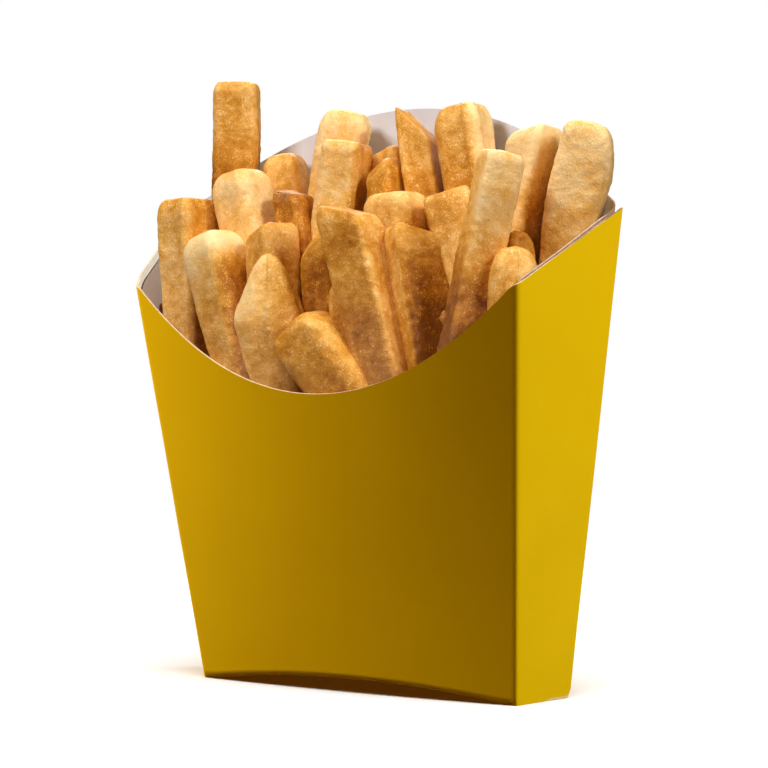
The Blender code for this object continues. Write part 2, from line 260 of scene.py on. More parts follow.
NOISE_STEPS = (13.7, 5.1, 3.3)   # how far each fry's relief is from the last one's
PLACE_STEPS = (41.0, 17.0)       # the same for its patches of colour
FOOT_SHADE = 0.22                # painted shade: tone added towards the foot
FOOT_REACH = (8.0, 45.0)         # mm from the tip over which the foot's painted shade and the painted sheen set in
TOP_REACH = (3.0, 13.0)          # mm from the tip over which the tip's tone, partly a painted highlight, ends
DRIFT_LENGTH = 22.0              # mm along a fry over which its size and place drift
SIZE_DRIFT = 0.06                # share by which width and thickness drift
SWAY = 0.9                       # mm by which a fry bends to the side
SWAY_END = 12.0                  # mm from the tip over which the bend ends
TWIST = 7.0                      # degrees that a fry turns at most along its length
TWIST_CENTRE = 0.7               # share of the length where it isn't turned
EVEN_PATH = ((0.0, 1.0, 1.0, 0.0), (1.0, 1.0, 1.0, 0.0))
PATH_WINDOW = 0.07               # share of the length over which a path is smoothed

# Packed core
CORE_FRONT = 66.0 * MM           # height of its top at the front and the back
CORE_BACK = 92.0 * MM
CORE_BOTTOM = 40.0 * MM
CORE_SPAN = 0.985                # share of the half width that it takes
CORE_CLEAR = 1.0 * MM            # its room to the walls beside the fries' own
CORE_ACROSS = 60
CORE_DEEP = 24
CORE_LUMP = 0.006                # length and height of its lumps
CORE_LUMP_HEIGHT = 3.0 * MM
CORE_SEED = 3.0
CORE_TAPER = (0.86, 0.6, 0.0)    # its underside, as shares of its top

# Camera of the photograph
CAMERA_TARGET = Vector((2.8, 3.25, 75.6)) * MM
CAMERA_AZIMUTH = 32.0
CAMERA_ELEVATION = 1.65
CAMERA_DISTANCE = 643.5 * MM
CAMERA_LENS = 121.45             # mm on a 36 mm sensor

# Stage. In the photograph the panels, the inner board and the fries are lit from different
# sides, so each light has a name and one group that it lights. Then come its azimuth from the
# camera's, elevation, size, watts and colour.
FLOOR_RADIUS = 0.4
DOME_RADIUS = 8.0
LIGHT_DISTANCE = 0.9
LIGHTS = (
    ("Left light", "carton", -93, 40, 0.45, 15.0, (1.0, 0.88, 0.78)),
    ("Right light", "carton", 76, 25, 0.45, 9.1, (1.0, 1.0, 0.82)),
    ("Left inner light", "inner", -52, 38, 0.25, 6.5, (1.0, 0.97, 0.98)),
    ("Right inner light", "inner", 34, 36, 0.3, 3.0, (1.0, 0.88, 0.78)),
    ("Rear light", "inner", 140, 38, 0.45, 8.5, (1.0, 0.99, 0.96)),
    ("Left heap light", "fries", -58, 47, 0.25, 5.2, (1.0, 1.0, 0.97)),
    ("Right heap light", "fries", 50, 33, 0.25, 4.7, (1.0, 1.0, 0.95)),
    ("Top heap light", "fries", -10, 75, 0.3, 4.1, (1.0, 1.0, 0.97)),
    ("Front heap light", "fries", 0, 12, 0.8, 0.5, (1.0, 0.5, 0.08)),
    ("Rear heap light", "fries", 180, 42, 0.4, 4.0, (1.0, 0.93, 0.8)),
    ("Floor light", "floor", 0, 75, 0.8, 22.0, (1.0, 1.0, 1.0)),
)
# Lights whose shadows come only from what they light
OWN_SHADOWS = ("Right light", "Right inner light")


def mix(start, end, share):
    """Straight-line blend."""
    return start + (end - start) * share


def ease(low, high, value):
    """Smooth step from 0 at low to 1 at high."""
    share = min(1.0, max(0.0, (value - low) / (high - low)))
    return share * share * (3.0 - 2.0 * share)


def front_point(across, height):
    """Outer face of the front panel; across runs from -1 at the left fold to 1 at the right."""
    share = height / FRONT_HEIGHT
    bow = mix(BOTTOM_BOW, FRONT_BOW, share) * (1.0 - across * across)
    half = mix(FRONT_BOTTOM_HALF, FRONT_TOP_HALF, share)
    return Vector((across * half, mix(FRONT_BOTTOM_Y, FRONT_TOP_Y, share) - bow, height))


def back_point(across, height):
    """Outer face of the back panel."""
    share = height / BACK_CORNER_HEIGHT
    bow = mix(BOTTOM_BOW, BACK_BOW, share) * (1.0 - across * across)
    half = mix(BACK_BOTTOM_HALF, BACK_CORNER_HALF, share)
    return Vector((across * half, mix(BACK_BOTTOM_Y, BACK_TOP_Y, share) + bow, height))


def scoop_height(across):
    """Height of the scooped edge of the front panel."""
    way = min(1.0, abs(across) / SCOOP_SPAN)
    return SCOOP_LOW + SCOOP_SQUARE * way ** 2 + SCOOP_FOURTH * way ** 4


def arch_height(across):
    """Height of the arched edge of the back panel."""
    fourth = ARCH_TOP - ARCH_SQUARE - BACK_CORNER_HEIGHT
    return ARCH_TOP - ARCH_SQUARE * across ** 2 - fourth * across ** 4


def floor_height(across):
    """Height of the arched bottom panel."""
    return BOTTOM_RISE * max(0.0, 1.0 - (across / FOOT_START) ** 2)


def side_bulge(depth, rise):
    """How far the left side panel bulges outward: most at its top edge, near the front."""
    along = ease(0.0, BULGE_FULL, depth) * (1.0 - ease(BULGE_FADE, 1.0, depth))
    return SIDE_BULGE * along * ease(BULGE_FADE, 1.0, rise)


def side_point(side, depth, rise, inset):
    """Point of a side panel: depth 0 at the front fold, rise 0 at the bottom; inset is inward."""
    low = mix(front_point(side, 0.0), back_point(side, 0.0), depth)
    high = mix(front_point(side, FRONT_HEIGHT), back_point(side, BACK_CORNER_HEIGHT), depth)
    if side < 0:
        inset -= side_bulge(depth, rise)
    return mix(low, high, rise) - Vector((side * inset, 0.0, 0.0))


def dense_ends(steps):
    """Shares from 0 to 1 that stand closer together near both ends."""
    spread = [-1.0 + 2.0 * step / steps for step in range(steps + 1)]
    return [0.5 + 0.5 * ((1.0 + CROWDING) * way - CROWDING * way ** 3) for way in spread]


def wavy(point, size, amount, seed):
    """Smooth unevenness at a point."""
    return noise.noise(point / size + Vector((seed, 7.3, 2.1))) * amount


def make_mesh(name, points, faces, materials, slots=None):
    """Smooth object from point and face lists."""
    mesh = bpy.data.meshes.new(name)
    mesh.from_pydata([tuple(point) for point in points], [], faces)
    for material in materials:
        mesh.materials.append(material)
    if slots is not None:
        mesh.polygons.foreach_set("material_index", slots)
    mesh.shade_smooth()
    mesh.validate()
    item = bpy.data.objects.new(name, mesh)
    bpy.context.scene.collection.objects.link(item)
    return item


def round_folds(columns, reach):
    """Average each column of points with its neighbours along the path to round the folds."""
    grid = np.array(columns)
    middle = grid[:, grid.shape[1] // 2]
    steps = np.linalg.norm(np.diff(middle, axis=0), axis=1)
    way = np.concatenate(([0.0], np.cumsum(steps)))
    gaps = way[:, None] - way[None, :]
    width = np.gradient(way)
    room = np.minimum(way, way[-1] - way)
    spread = np.maximum(np.minimum(reach, room), SHORTEST_REACH)
    weights = np.exp(-0.5 * (gaps / (0.5 * spread[:, None])) ** 2) * width[None, :]
    weights /= weights.sum(axis=1, keepdims=True)
    return np.tensordot(weights, grid, axes=(1, 0))


def sheet_normals(grid):
    """Unit normals of a grid of points, to the right of its columns."""
    along = np.gradient(grid, axis=0)
    up = np.gradient(grid, axis=1)
    normal = np.cross(along, up)
    return normal / np.linalg.norm(normal, axis=2, keepdims=True)


def uneven(grid, seed):
    """Slight waves in a sheet, across its face."""
    normal = sheet_normals(grid)
    shift = np.array([[wavy(Vector(p), WAVE_LENGTH, WAVE, seed) for p in row] for row in grid])
    return grid + normal * shift[:, :, None]


def board_sheet(name, grid, materials, bare=(), shaded_edges=()):
    """Closed sheet of board: the grid is its outer face, with the thickness on the inside.

    The outer face is unprinted in the bare columns, and in the columns given for it the top
    edge is painted dark, as a line of shade.
    """
    wide, high = grid.shape[:2]
    inner = grid - sheet_normals(grid) * BOARD
    points = np.concatenate((grid.reshape(-1, 3), inner.reshape(-1, 3)))
    shift = wide * high
    faces = []
    slots = []

    def add(corners, slot):
        faces.append(corners)
        slots.append(slot)

    for i in range(wide - 1):
        for j in range(high - 1):
            a, b = i * high + j, (i + 1) * high + j
            add((a, b, b + 1, a + 1), RAW_SLOT if i in bare else PRINT_SLOT)
            add((a + shift, a + 1 + shift, b + 1 + shift, b + shift), INNER_SLOT)
        low, top = i * high, i * high + high - 1
        add((low, low + shift, low + high + shift, low + high), RAW_SLOT)
        # Painted shade: a dark line along the top edge where the flap lies in shadow.
        edge_slot = SHADE_EDGE_SLOT if i in shaded_edges else RAW_SLOT
        add((top, top + high, top + high + shift, top + shift), edge_slot)
    for j in range(high - 1):
        end = (wide - 1) * high + j
        add((j, j + 1, j + 1 + shift, j + shift), RAW_SLOT)
        add((end, end + shift, end + 1 + shift, end + 1), RAW_SLOT)
    item = make_mesh(name, points, faces, materials, slots)
    item.data.set_sharp_from_angle(angle=math.radians(SHARP_ANGLE))
    return item


def wall_heights(low, high):
    """Heights up one column of a wall, closer together near the bottom fold."""
    shares = [step / HEIGHT_STEPS for step in range(HEIGHT_STEPS + 1)]
    bent = [share * share * LOW_CROWDING + share * (1.0 - LOW_CROWDING) for share in shares]
    return [mix(low, high, share) for share in bent]


def fold_turn(height, low, across):
    """How far a wide panel turns in at its bottom fold, which flattens out at the side folds."""
    left = max(0.0, BOTTOM_ROUND - (height - low)) / BOTTOM_ROUND
    bend = 1.0 - ease(FOLD_FADE, 1.0, abs(across))
    return BOTTOM_ROUND * (1.0 - math.sqrt(1.0 - left * left)) * bend


def outer_side(side):
    """Columns of an outer side panel, from the front fold to the rear edge."""
    columns = []
    for depth in dense_ends(DEPTH_STEPS)[1:]:
        low = REAR_CHAMFER * ease(CHAMFER_START, 1.0, depth)
        top = mix(FRONT_HEIGHT, BACK_CORNER_HEIGHT, depth)
        heights = wall_heights(low, top)
        columns.append([side_point(side, depth, height / top, 0.0) for height in heights])
    return columns


def front_columns():
    """Columns of the front panel, from left to right."""
    columns = []
    for share in dense_ends(ACROSS_STEPS):
        u = -1.0 + 2.0 * share
        low = floor_height(u)
        column = []
        for height in wall_heights(low, scoop_height(u)):
            turn = fold_turn(height, low, u)
            column.append(front_point(u, height) + Vector((0.0, turn, 0.0)))
        columns.append(column)
    return columns


def build_outer(materials):
    """The front panel with both side panels, folded back at the front folds."""
    columns = outer_side(-1)[::-1] + front_columns() + outer_side(1)
    grid = round_folds(columns, FOLD_ROUND * 2)
    return board_sheet("carton_front_and_sides", uneven(grid, OUTER_SEED), materials)


def flap_part(side, depth, rise):
    """How far a flap stands off its side panel."""
    part = FLAP_PART_RIGHT if side > 0 else FLAP_PART_LEFT
    return BOARD + FLAP_GAP + part * ease(FLAP_PART_RISE, 1.0, rise) * ease(FLAP_PART_DEPTH, 1.0, depth)


def wrap_columns():
    """Columns of the left flap that run on over the front panel, towards its fold."""
    inward = Vector((0.0, BOARD + FLAP_GAP, 0.0))
    columns = []
    for step in range(WRAP_STEPS):
        u = -1.0 + FLAP_WRAP_LEFT * (1.0 - step / WRAP_STEPS)
        heights = wall_heights(floor_height(u) + FLAP_LIFT, scoop_height(u) - FLAP_DROP_LEFT)
        columns.append([front_point(u, height) + inward for height in heights])
    return columns


def flap_columns(side):
    """Columns of the glue flap inside a side panel, from the front fold to the rear one."""
    drop = FLAP_DROP_RIGHT if side > 0 else FLAP_DROP_LEFT
    columns = []
    for share in dense_ends(DEPTH_STEPS)[:-1]:
        depth = FLAP_START + (1.0 - FLAP_START) * share
        top = mix(FRONT_HEIGHT, BACK_CORNER_HEIGHT, depth)
        edge = top - drop * (1.0 - ease(FLAP_DROP_FADE, 1.0, depth))
        rises = [height / top for height in wall_heights(FLAP_LIFT, edge)]
        columns.append([side_point(side, depth, r, flap_part(side, depth, r)) for r in rises])
    return columns


def back_columns():
    """Columns of the back panel, from left to right."""
    columns = []
    for share in dense_ends(ACROSS_STEPS):
        u = -1.0 + 2.0 * share
        low = floor_height(u)
        top = arch_height(u) + CORNER_LIFT * ease(CORNER_LIFT_START, 1.0, abs(u))
        column = []
        for height in wall_heights(low, top):
            part = flap_part(1 if u > 0 else -1, 1.0, height / BACK_CORNER_HEIGHT)
            point = back_point(u, height) - Vector((part * u, BACK_INSET, 0.0))
            column.append(point - Vector((0.0, fold_turn(height, low, u), 0.0)))
        columns.append(column)
    return columns


def build_inner(materials):
    """The back panel with both glue flaps, folded forward inside the side panels."""
    columns = wrap_columns() + flap_columns(-1) + back_columns() + flap_columns(1)[::-1]
    # The path runs the other way round than the front's, so that its outer face is outside
    grid = uneven(round_folds(columns, FOLD_ROUND * 2), INNER_SEED)[::-1]
    right_flap = range(DEPTH_STEPS)
    left_flap = range(DEPTH_STEPS + ACROSS_STEPS + 1, len(columns))
    bare = {*right_flap, *left_flap}
    # The left flap's top edge is painted dark as the shadow line along it.
    return board_sheet("carton_back_and_flaps", grid, materials, bare, left_flap[UNSHADED:])


def build_bottom(materials):
    """The arched bottom panel between the two wide panels."""
    columns = []
    for step in range(ACROSS_STEPS + 1):
        u = -1.0 + 2.0 * step / ACROSS_STEPS
        low = floor_height(u)
        front = front_point(u, low) + Vector((0.0, BOTTOM_ROUND, 0.0))
        back = back_point(u, low) - Vector((0.0, BOTTOM_ROUND + BACK_INSET, 0.0))
        columns.append([mix(back, front, i / BOTTOM_STEPS) for i in range(BOTTOM_STEPS + 1)])
    grid = np.array(columns)
    return board_sheet("carton_bottom", grid[::-1][:, ::-1], materials)


def unit_section(corner, sink, count):
    """Closed outline of unit size, evenly stepped: x, y, outward normal, nearness to an edge."""
    dense = []
    straight = 0.5 - corner
    for quarter in range(4):
        turn = math.pi / 2 * quarter
        cos, sin = round(math.cos(turn)), round(math.sin(turn))
        side = []
        for step in range(FACE_STEPS):
            along = -straight + 2 * straight * step / FACE_STEPS
            side.append((0.5 - sink * (1.0 - (along / 0.5) ** 2) ** 2, along))
        for step in range(CORNER_STEPS):
            swing = math.pi / 2 * step / CORNER_STEPS
            side.append((straight + corner * math.cos(swing), straight + corner * math.sin(swing)))
        dense += [(x * cos - y * sin, x * sin + y * cos) for x, y in side]
    dense = np.array(dense)
    closed = np.vstack((dense, dense[:1]))
    way = np.concatenate(([0.0], np.cumsum(np.linalg.norm(np.diff(closed, axis=0), axis=1))))
    marks = np.linspace(0.0, way[-1], count, endpoint=False)
    x = np.interp(marks, way, closed[:, 0])
    y = np.interp(marks, way, closed[:, 1])
    tangent = np.column_stack((np.roll(x, -1) - np.roll(x, 1), np.roll(y, -1) - np.roll(y, 1)))
    normal = np.column_stack((tangent[:, 1], -tangent[:, 0]))
    normal /= np.linalg.norm(normal, axis=1, keepdims=True)
    edge = np.clip((np.abs(x * y) - EDGE_START) / EDGE_START, 0.0, 1.0)
    return x, y, normal, edge


def path_value(path, column, share):
    """Value of a fry's path at a share of its length, smoothed between the stations."""
    window = np.linspace(share - PATH_WINDOW, share + PATH_WINDOW, 9)
    return float(np.interp(window, [row[0] for row in path], [row[column] for row in path]).mean())


def fry_stations(length, nose, detail):
    """Distances of a fry's rings from its foot, closer together towards the tip of the nose."""
    rings = max(FEWEST_RINGS, int(length / (RING_STEP * detail)))
    caps = max(FEWEST_NOSE_RINGS, int(nose / (NOSE_STEP * detail)))
    stops = [(length - nose) * i / rings for i in range(rings)]
    return stops + [length - nose + nose * math.sin(math.pi / 2 * i / caps) for i in range(caps + 1)]


def fry_ring(fry, way, extras, offset, twist):
    """The ring of a fry at a distance from its foot."""
    tip, foot, foot_width, tip_width, thick, turn, nose, blunt, slope = fry
    foot, tip = Vector(foot), Vector(tip)
    length = (tip - foot).length
    along = (tip - foot) / length
    angle = math.radians(turn)
    outward = Vector((math.sin(angle), -math.cos(angle), 0.0))
    outward = (outward - along * outward.dot(along)).normalized()
    across = (-outward).cross(along)

    share = way / length
    near = max(0.0, way - (length - nose)) / nose
    curve = mix(math.sqrt(max(0.0, 1.0 - near * near)), 1.0 - near, extras.get("wedge", 0.0))
    scale = mix(blunt, 1.0, curve)
    path = extras.get("path", EVEN_PATH)
    size = mix(foot_width, tip_width, share)
    drift = offset + Vector((0.0, 0.0, way / DRIFT_LENGTH))
    width = size * path_value(path, 1, share) * (1.0 + SIZE_DRIFT * noise.noise(drift)) * scale
    depth = thick * size / tip_width * path_value(path, 2, share) * scale
    depth *= 1.0 + SIZE_DRIFT * noise.noise(drift * 1.1)
    hold = ease(0.0, SWAY_END, length - way)
    sway = noise.noise(drift * 0.8) * SWAY * hold + path_value(path, 3, share)
    end_share = max(0.0, 1.0 - (length - way) / tip_width)
    swing = twist * (share - TWIST_CENTRE)
    side = across * math.cos(swing) + outward * math.sin(swing)
    face = outward * math.cos(swing) - across * math.sin(swing)
    centre = foot + along * way + across * sway
    lean = slope * end_share * size
    back = extras.get("back", 0.0) * end_share * depth
    return Ring(centre, side, face, along, width, depth, scale, lean, back)


def ring_point(ring, x, y, shrink=1.0):
    """Point of a ring at a place on the unit section, drawn in towards the ring's middle."""
    point = ring.centre + ring.side * (x * ring.width * shrink)
    point -= ring.face * (y * ring.depth * shrink)
    return point + ring.along * (ring.lean * x * ring.scale - ring.back * y) * shrink


def fry_shape(fry, seed, extras, detail=1.0):
    """Points, faces and surface values of one fry, in millimetres."""
    draw = random.Random(seed)
    count = int(AROUND / detail)
    x, y, normal, edge = unit_section(extras["corner"], draw.uniform(*FACE_SINK), count)
    twist = math.radians(draw.uniform(-TWIST, TWIST))
    offset = Vector([seed * step for step in NOISE_STEPS])
    length = (Vector(fry[0]) - Vector(fry[1])).length
    # The tip's tone is partly the fry's own colour and partly a painted highlight on its top.
    tip_tone_and_light = extras.get("top", extras["tone_and_shade"])
    # Painted light and shade: tone added on the right face, and across the front face darker towards
    # one side and paler towards the other.
    right_face_shading = np.clip((normal[:, 0] - 0.2) / 0.6, 0.0, 1.0)
    face_tones_and_shade = extras["tone_and_shade"] + extras.get("right", 0.0) * right_face_shading
    face_tones_and_shade += extras.get("across", 0.0) * 2.0 * x
    points = []
    values = []
    for way in fry_stations(length, fry[6], detail):
        ring = fry_ring(fry, way, extras, offset, twist)
        left = length - way
        low = ease(*FOOT_REACH, left)
        # Painted sheen: a whitish haze that grows towards the foot.
        painted_sheen = extras.get("painted_sheen", 0.0) * low
        tip_share = (1.0 - ease(*TOP_REACH, left)) if "top" in extras else 0.0
        for i in range(count):
            outward = ring.side * normal[i, 0] - ring.face * normal[i, 1]
            outward *= min(1.0, 2.0 * ring.scale)
            points.append(surface_point(ring_point(ring, x[i], y[i]), outward, offset, edge[i]))
            # Painted shade darkens the tone towards the foot, and the tip's tone is partly a painted
            # highlight.
            tone_and_shade = mix(face_tones_and_shade[i] + extras.get("foot", FOOT_SHADE) * low, tip_tone_and_light, tip_share)
            values.append((x[i] * ring.width, y[i] * ring.depth, way, edge[i], left, tone_and_shade, painted_sheen))
    # The end face closes in rings towards its middle
    for step in range(1, CAP_RINGS + 1):
        shrink = 1.0 - END_SHRINK * step / CAP_RINGS
        for i in range(count):
            point = ring_point(ring, x[i], y[i], shrink)
            point += ring.along * END_SWELL * (1.0 - shrink)
            lump = noise.noise(point / END_LUMP[0] + offset) * END_LUMP[1] * (1.0 - shrink)
            lump += noise.noise(point / END_GRAIN[0] + offset) * END_GRAIN[1]
            points.append(point + ring.along * lump)
            values.append((x[i] * ring.width * shrink, y[i] * ring.depth * shrink, length,
                           0.5 * shrink, 0.0, tip_tone_and_light, 0.0))
    rows = len(points) // count
    points.append(ring.centre + ring.along * END_SWELL)
    values.append((0.0, 0.0, length, 0.0, 0.0, tip_tone_and_light, 0.0))
    return points, tube_faces(rows, count), values


def tube_faces(rows, count):
    """Faces of a tube of rings, closed by a flat face at its foot and by a point at its tip."""
    faces = []
    for ring in range(rows - 1):
        for i in range(count):
            j = (i + 1) % count
            a, b = ring * count, (ring + 1) * count
            faces.append((a + i, a + j, b + j, b + i))
    last, middle = (rows - 1) * count, rows * count
    faces += [(last + i, last + (i + 1) % count, middle) for i in range(count)]
    faces.append(tuple(range(count - 1, -1, -1)))
    return faces


def surface_point(base, outward, offset, edge):
    """Push a point of a fry in or out by lumps, blisters and crumbs of crust."""
    place = base + offset * 10.0
    lump = noise.noise(place / LUMP[0]) * LUMP[1] + noise.noise(place / DENT[0]) * DENT[1]
    crumb = noise.noise(place / CRUMB[0]) * (CRUMB[1] + CRUMB[2] * edge)
    crumb += noise.noise(place / CHIP[0]) * CHIP[1] * edge
    swell = noise.noise(place / BLISTER[0] + Vector((5.0, 0.0, 0.0))) - BLISTER_START
    return base + outward * (lump + crumb + max(0.0, swell) * BLISTER[1])


def inside_walls(point):
    """Keep a point, in metres, within the carton's walls where it is below their edges."""
    x, y, z = point
    half = mix(FRONT_BOTTOM_HALF, FRONT_TOP_HALF, z / FRONT_HEIGHT)
    u = max(-1.0, min(1.0, x / half))
    if z < scoop_height(u) + RIM_MARGIN:
        y = max(y, front_point(u, z).y + WALL_CLEAR)
    half = mix(BACK_BOTTOM_HALF, BACK_CORNER_HALF, z / BACK_CORNER_HEIGHT)
    u = max(-1.0, min(1.0, x / half))
    if z < arch_height(u) + RIM_MARGIN:
        y = min(y, back_point(u, z).y - WALL_CLEAR)
    for side in (-1, 1):
        depth = (y - front_point(side, z).y) / (back_point(side, z).y - front_point(side, z).y)
        depth = min(1.0, max(0.0, depth))
        top = mix(FRONT_HEIGHT, BACK_CORNER_HEIGHT, depth)
        if z < top + RIM_MARGIN:
            inset = SIDE_CLEAR + flap_part(side, depth, min(1.0, z / top)) - BOARD - FLAP_GAP
            limit = abs(side_point(side, depth, z / top, inset).x)
            x = min(x, limit) if side > 0 else max(x, -limit)
    return Vector(np.clip((x, y, z), *CAD_BOX))


def build_fry_piece(name, fries, extras, material, first_seed, detail=1.0):
    """Several fries as one mesh, with values that the crust's colour follows."""
    points, faces, values = [], [], []
    for number, fry in enumerate(fries):
        seed = first_seed + number
        shape = fry_shape(fry, seed, extras[number], detail)
        start = len(points)
        points += [inside_walls(point * MM) for point in shape[0]]
        faces += [tuple(start + corner for corner in face) for face in shape[1]]
        aside, back = seed * PLACE_STEPS[0], seed * PLACE_STEPS[1]
        values += [(v[0] + aside, v[1] + back, *v[2:]) for v in shape[2]]
    item = make_mesh(name, points, faces, [material])
    values = np.array(values)
    place = item.data.attributes.new("place", "FLOAT_VECTOR", "POINT")
    place.data.foreach_set("vector", values[:, :3].ravel())
    # The tone carries painted shade and highlights beside the crust's own colour, and the sheen value a
    # painted whitish sheen.
    for key, column in (("edge", 3), ("end", 4), ("tone_and_shade", 5), ("painted_sheen", 6)):
        layer = item.data.attributes.new(key, "FLOAT", "POINT")
        layer.data.foreach_set("value", values[:, column].copy())
    return item


def axis_gap(point, fry):
    """Level distance in mm from a point to a shown fry's axis at the point's height."""
    tip, foot = Vector(fry[0]), Vector(fry[1])
    if point.z > tip.z:
        return (point - tip).length
    on_axis = mix(foot, tip, (point.z - foot.z) / (tip.z - foot.z))
    return (point - on_axis).xy.length


def fill_fries():
    """Lower fries in jittered rows, left out where a fry that shows stands."""
    draw = random.Random(FILL_SEED)
    found = []
    for depth in FILL_DEPTHS:
        for step in range(FILL_COUNT):
            x = (step - (FILL_COUNT - 1) / 2) * FILL_STEP
            x += draw.uniform(-FILL_JITTER_ACROSS, FILL_JITTER_ACROSS)
            across = x * MM / FRONT_TOP_HALF
            low = scoop_height(across) / MM + FILL_FRONT
            high = arch_height(across) / MM - FILL_BACK
            height = mix(low, high, depth) + draw.uniform(-FILL_UNEVEN, FILL_UNEVEN)
            front = front_point(across, height * MM).y / MM
            back = back_point(across, height * MM).y / MM
            y = mix(front, back, depth) + draw.uniform(-FILL_JITTER_DEEP, FILL_JITTER_DEEP)
            tip = Vector((x, y, height))
            foot = (x * 0.85, y * 0.6 + 1.3, FILL_FOOT)
            width = draw.uniform(*FILL_WIDTH)
            thick = draw.uniform(*FILL_WIDTH)
            turn = draw.uniform(-FILL_TURN, FILL_TURN)
            if all(axis_gap(tip, fry) > FILL_SPACE for fry in FRIES):
                found.append((tip, foot, width, width, thick, turn, FILL_NOSE, FILL_BLUNT, 0))
    return found


def node(tree, kind, **settings):
    """Add a shader node; a setting named after an input sets it, others set properties."""
    item = tree.nodes.new(kind)
    for key, value in settings.items():
        if key in item.inputs:
            item.inputs[key].default_value = value
        else:
            setattr(item, key, value)
    return item


def new_material(name):
    """Material with its Principled shader."""
    material = bpy.data.materials.new(name)
    material.use_nodes = True
    return material, material.node_tree, material.node_tree.nodes["Principled BSDF"]


def math_node(tree, operation, first, second, clamp=False):
    """Arithmetic on two values or sockets."""
    item = tree.nodes.new("ShaderNodeMath")
    item.operation = operation
    item.use_clamp = clamp
    for socket, value in zip(item.inputs, (first, second)):
        if isinstance(value, (int, float)):
            socket.default_value = value
        else:
            tree.links.new(value, socket)
    return item.outputs[0]


def ramp(tree, value, stops):
    """Colour ramp from (position, colour) stops."""
    item = tree.nodes.new("ShaderNodeValToRGB")
    marks = item.color_ramp.elements
    while len(marks) < len(stops):
        marks.new(0.5)
    for mark, (position, colour) in zip(marks, stops):
        mark.position = position
        mark.color = (*colour, 1.0)
    tree.links.new(value, item.inputs["Fac"])
    return item.outputs["Color"]


def noise_value(tree, vector, scale, detail, roughness=0.55):
    """Noise texture's value."""
    item = node(tree, "ShaderNodeTexNoise", Scale=scale, Detail=detail, Roughness=roughness)
    tree.links.new(vector, item.inputs["Vector"])
    return item.outputs["Fac"]


def bump(tree, height, strength, distance, under=None):
    """Bump node, over another if given."""
    item = node(tree, "ShaderNodeBump", Strength=strength, Distance=distance)
    tree.links.new(height, item.inputs["Height"])
    if under is not None:
        tree.links.new(under, item.inputs["Normal"])
    return item.outputs["Normal"]


def crust_material():
    """Golden crust: pale and amber patches, browner ends and fine grain, with painted light: paler
    raised places, pale painted glints and a painted whitish sheen.
    """
    material, tree, shader = new_material("Golden crust")
    place = node(tree, "ShaderNodeAttribute", attribute_name="place").outputs["Vector"]
    tone_and_shade = node(tree, "ShaderNodeAttribute", attribute_name="tone_and_shade").outputs["Fac"]
    edge = node(tree, "ShaderNodeAttribute", attribute_name="edge").outputs["Fac"]
    end = node(tree, "ShaderNodeAttribute", attribute_name="end").outputs["Fac"]
    patches = noise_value(tree, place, 0.12, 3.0)
    # This noise is the crust's raised relief, and raised places are also painted paler as light on
    # them.
    relief_and_light = noise_value(tree, place, 0.45, 3.0, 0.5)
    grain = noise_value(tree, place, 2.2, 2.0, 0.8)
    value = tone_and_shade
    # Patches and grain vary the crust's own tone; the relief noise makes raised places paler, a painted
    # highlight on the bumps.
    for source, amount in ((patches, 0.75), (relief_and_light, -0.45), (grain, -0.5)):
        part = math_node(tree, "MULTIPLY", math_node(tree, "SUBTRACT", source, 0.5), amount)
        value = math_node(tree, "ADD", value, part)
    # Painted glints: pale specks, more on the raised relief, stand in for glints of oil.
    painted_glints = ramp(tree, noise_value(tree, place, 2.6, 1.0, 0.5),
                  ((0.57, (0.0, 0.0, 0.0)), (0.68, (1.0, 1.0, 1.0))))
    painted_glints = math_node(tree, "MULTIPLY", painted_glints, ramp(tree, relief_and_light, (
        (0.4, (0.2, 0.2, 0.2)), (0.62, (1.0, 1.0, 1.0)))))
    value = math_node(tree, "SUBTRACT", value, math_node(tree, "MULTIPLY", painted_glints, 0.42))
    value = math_node(tree, "SUBTRACT", value, math_node(tree, "MULTIPLY", edge, 0.06))
    near_end = math_node(tree, "SUBTRACT", 1.0, math_node(tree, "DIVIDE", end, 2.0), True)
    value = math_node(tree, "ADD", value, math_node(tree, "MULTIPLY", near_end, 0.08), True)
    colour = ramp(tree, value, (
        (0.0, (0.95, 0.69, 0.34)), (0.3, (0.84, 0.47, 0.12)), (0.55, (0.62, 0.27, 0.025)),
        (0.8, (0.38, 0.12, 0.003)), (1.0, (0.18, 0.042, 0.001))))
    # Painted sheen: a whitish haze mixed into the colour in patches.
    painted_sheen = node(tree, "ShaderNodeAttribute", attribute_name="painted_sheen").outputs["Fac"]
    sheen_mix = node(tree, "ShaderNodeMix", data_type="RGBA")
    patch = math_node(tree, "MULTIPLY", painted_sheen, relief_and_light)
    tree.links.new(patch, sheen_mix.inputs["Factor"])
    tree.links.new(colour, sheen_mix.inputs["A"])
    sheen_mix.inputs["B"].default_value = (0.80, 0.50, 0.25, 1.0)
    tree.links.new(sheen_mix.outputs["Result"], shader.inputs["Base Color"])
    rough = ramp(tree, grain, ((0.3, (0.5, 0.5, 0.5)), (0.7, (0.28, 0.28, 0.28))))
    tree.links.new(rough, shader.inputs["Roughness"])
    shader.inputs["Subsurface Weight"].default_value = 0.08
    shader.inputs["Subsurface Radius"].default_value = (1.0, 0.42, 0.12)
    shader.inputs["Subsurface Scale"].default_value = 0.0012
    shader.inputs["Specular IOR Level"].default_value = 0.3
    shader.inputs["Specular Tint"].default_value = (1.0, 0.75, 0.35, 1.0)
    shader.inputs["Coat Weight"].default_value = 0.22
    shader.inputs["Coat Roughness"].default_value = 0.16
    soft = bump(tree, relief_and_light, 0.5, 0.0006)
    tree.links.new(bump(tree, grain, 0.6, 0.0002, soft), shader.inputs["Normal"])
    tree.links.new(bump(tree, grain, 1.0, 0.0004, soft), shader.inputs["Coat Normal"])
    return material


